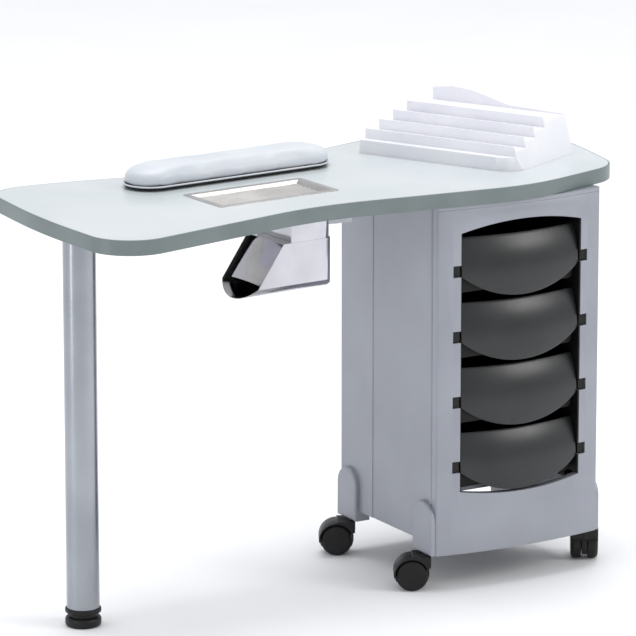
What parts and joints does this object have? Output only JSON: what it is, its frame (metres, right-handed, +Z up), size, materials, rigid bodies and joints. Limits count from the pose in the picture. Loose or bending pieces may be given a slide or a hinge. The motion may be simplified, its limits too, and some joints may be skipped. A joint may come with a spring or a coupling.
{
  "type": "manicure table",
  "caption": "Kidney-shaped manicure table on one round leg and a drawer cabinet on casters, with a recessed dust extractor, arm cushion and stepped polish rack.",
  "frame": {"origin": "on the floor under the middle of the worktop", "axes": "+Z up, +X along the worktop from the leg to the drawer cabinet, the drawers open towards -Y"},
  "size_m": [1.1797, 0.5636, 0.862],
  "materials": {
    "melamine_board": "matt board core with a pale melamine underside",
    "gloss_laminate": "glossy pale grey laminate",
    "grey_edging": "satin grey-green edging",
    "zinc_steel": "zinc plated",
    "satin_steel": "satin",
    "polished_steel": "polished stainless steel",
    "black_plastic": "satin black",
    "black_rubber": "matt",
    "black_foam": "open foam",
    "filter_felt": "white felt",
    "cabinet_grey": "silver grey satin",
    "pine_cleat": "sawn",
    "bright_steel": "bright",
    "light_grey_plastic": "satin",
    "pale_vinyl": "smooth pale vinyl",
    "opal_plastic": "white opal",
    "smoked_plastic": "smoked grey satin",
    "black_tread": "satin black tread"
  },
  "bodies": {
    "table": {"table_board": "melamine_board", "top_laminate": "gloss_laminate", "edge_band": "grey_edging", "leg_plate": "zinc_steel", "worktop_screws": "zinc_steel", "leg_tube": "satin_steel", "leg_plug": "black_plastic", "side_left": "cabinet_grey", "side_right": "cabinet_grey", "front_frame": "cabinet_grey", "back_panel": "cabinet_grey", "top_panel": "cabinet_grey", "corner_cleats": "pine_cleat", "caster_sockets": "bright_steel", "runner_left": "black_plastic", "runner_right": "black_plastic", "duct_collar": "polished_steel", "intake_pan": "polished_steel", "extractor_housing": "polished_steel", "outlet_lining": "black_foam", "outlet_vane": "polished_steel", "motor_bracket": "zinc_steel", "fan_motor": "bright_steel", "switch_box": "light_grey_plastic", "power_inlet": "black_plastic", "cushion_base": "black_plastic", "cushion_pad": "pale_vinyl", "cushion_feet": "black_rubber"},
    "foot": {"foot_stud": "zinc_steel", "foot_pad": "black_plastic"},
    "fan": {"fan_impeller": "black_plastic"},
    "rocker": {"rocker_switch": "black_plastic"},
    "grille": {"grille_tray": "satin_steel", "grille_louvres": "satin_steel", "dust_filter": "filter_felt"},
    "rack": {"polish_rack": "opal_plastic"},
    "drawer_1": {"drawer_1_tray": "black_plastic", "drawer_1_front": "smoked_plastic"},
    "drawer_2": {"drawer_2_tray": "black_plastic", "drawer_2_front": "smoked_plastic"},
    "drawer_3": {"drawer_3_tray": "black_plastic", "drawer_3_front": "smoked_plastic"},
    "drawer_4": {"drawer_4_tray": "black_plastic", "drawer_4_front": "smoked_plastic"},
    "caster_front_left": {"caster_front_left_hood": "black_plastic", "caster_front_left_pins": "bright_steel"},
    "caster_front_left_wheel_a": {"caster_front_left_wheel_a": "black_tread"},
    "caster_front_left_wheel_b": {"caster_front_left_wheel_b": "black_tread"},
    "caster_rear_left": {"caster_rear_left_hood": "black_plastic", "caster_rear_left_pins": "bright_steel"},
    "caster_rear_left_wheel_a": {"caster_rear_left_wheel_a": "black_tread"},
    "caster_rear_left_wheel_b": {"caster_rear_left_wheel_b": "black_tread"},
    "caster_front_right": {"caster_front_right_hood": "black_plastic", "caster_front_right_pins": "bright_steel"},
    "caster_front_right_wheel_a": {"caster_front_right_wheel_a": "black_tread"},
    "caster_front_right_wheel_b": {"caster_front_right_wheel_b": "black_tread"},
    "caster_rear_right": {"caster_rear_right_hood": "black_plastic", "caster_rear_right_pins": "bright_steel"},
    "caster_rear_right_wheel_a": {"caster_rear_right_wheel_a": "black_tread"},
    "caster_rear_right_wheel_b": {"caster_rear_right_wheel_b": "black_tread"}
  },
  "joints": [
    {"name": "drawer_1_slide", "type": "slide", "parent": "table", "child": "drawer_1", "axis": [0, -1, 0], "range_m": [0, 0.25]},
    {"name": "drawer_2_slide", "type": "slide", "parent": "table", "child": "drawer_2", "axis": [0, -1, 0], "range_m": [0, 0.25]},
    {"name": "drawer_3_slide", "type": "slide", "parent": "table", "child": "drawer_3", "axis": [0, -1, 0], "range_m": [0, 0.25]},
    {"name": "drawer_4_slide", "type": "slide", "parent": "table", "child": "drawer_4", "axis": [0, -1, 0], "range_m": [0, 0.25]},
    {"name": "caster_front_left_swivel", "type": "hinge", "parent": "table", "child": "caster_front_left", "pos_m": [0.133, -0.1705, 0.068], "axis": [0, 0, 1], "continuous": true},
    {"name": "caster_front_left_spin_a", "type": "hinge", "parent": "caster_front_left", "child": "caster_front_left_wheel_a", "pos_m": [0.10948, -0.15725, 0.03], "axis": [0.4909, 0.8712, 0], "continuous": true},
    {"name": "caster_front_left_spin_b", "type": "hinge", "parent": "caster_front_left", "child": "caster_front_left_wheel_b", "pos_m": [0.10948, -0.15725, 0.03], "axis": [0.4909, 0.8712, 0], "continuous": true},
    {"name": "caster_rear_left_swivel", "type": "hinge", "parent": "table", "child": "caster_rear_left", "pos_m": [0.133, 0.1035, 0.068], "axis": [0, 0, 1], "continuous": true},
    {"name": "caster_rear_left_spin_a", "type": "hinge", "parent": "caster_rear_left", "child": "caster_rear_left_wheel_a", "pos_m": [0.10948, 0.11675, 0.03], "axis": [0.4909, 0.8712, 0], "continuous": true},
    {"name": "caster_rear_left_spin_b", "type": "hinge", "parent": "caster_rear_left", "child": "caster_rear_left_wheel_b", "pos_m": [0.10948, 0.11675, 0.03], "axis": [0.4909, 0.8712, 0], "continuous": true},
    {"name": "caster_front_right_swivel", "type": "hinge", "parent": "table", "child": "caster_front_right", "pos_m": [0.485, -0.1705, 0.068], "axis": [0, 0, 1], "continuous": true},
    {"name": "caster_front_right_spin_a", "type": "hinge", "parent": "caster_front_right", "child": "caster_front_right_wheel_a", "pos_m": [0.49931, -0.1476, 0.03], "axis": [0.848, -0.5299, 0], "continuous": true},
    {"name": "caster_front_right_spin_b", "type": "hinge", "parent": "caster_front_right", "child": "caster_front_right_wheel_b", "pos_m": [0.49931, -0.1476, 0.03], "axis": [0.848, -0.5299, 0], "continuous": true},
    {"name": "caster_rear_right_swivel", "type": "hinge", "parent": "table", "child": "caster_rear_right", "pos_m": [0.485, 0.1035, 0.068], "axis": [0, 0, 1], "continuous": true},
    {"name": "caster_rear_right_spin_a", "type": "hinge", "parent": "caster_rear_right", "child": "caster_rear_right_wheel_a", "pos_m": [0.46764, 0.12418, 0.03], "axis": [0.766, 0.6428, 0], "continuous": true},
    {"name": "caster_rear_right_spin_b", "type": "hinge", "parent": "caster_rear_right", "child": "caster_rear_right_wheel_b", "pos_m": [0.46764, 0.12418, 0.03], "axis": [0.766, 0.6428, 0], "continuous": true},
    {"name": "foot_height", "type": "slide", "parent": "table", "child": "foot", "axis": [0, 0, 1], "range_m": [-0.015, 0]},
    {"name": "fan_spin", "type": "hinge", "parent": "table", "child": "fan", "pos_m": [-0.0806, -0.04888, 0.63], "axis": [0, 0, 1], "continuous": true},
    {"name": "rocker_tilt", "type": "hinge", "parent": "table", "child": "rocker", "pos_m": [0.009, -0.0445, 0.692], "axis": [1, 0, 0], "range_deg": [-16, 0]},
    {"name": "grille_lift", "type": "slide", "parent": "table", "child": "grille", "axis": [0, 0, 1], "range_m": [0, 0.06]},
    {"name": "rack_lift", "type": "slide", "parent": "table", "child": "rack", "axis": [0, 0, 1], "range_m": [0, 0.15]}
  ]
}
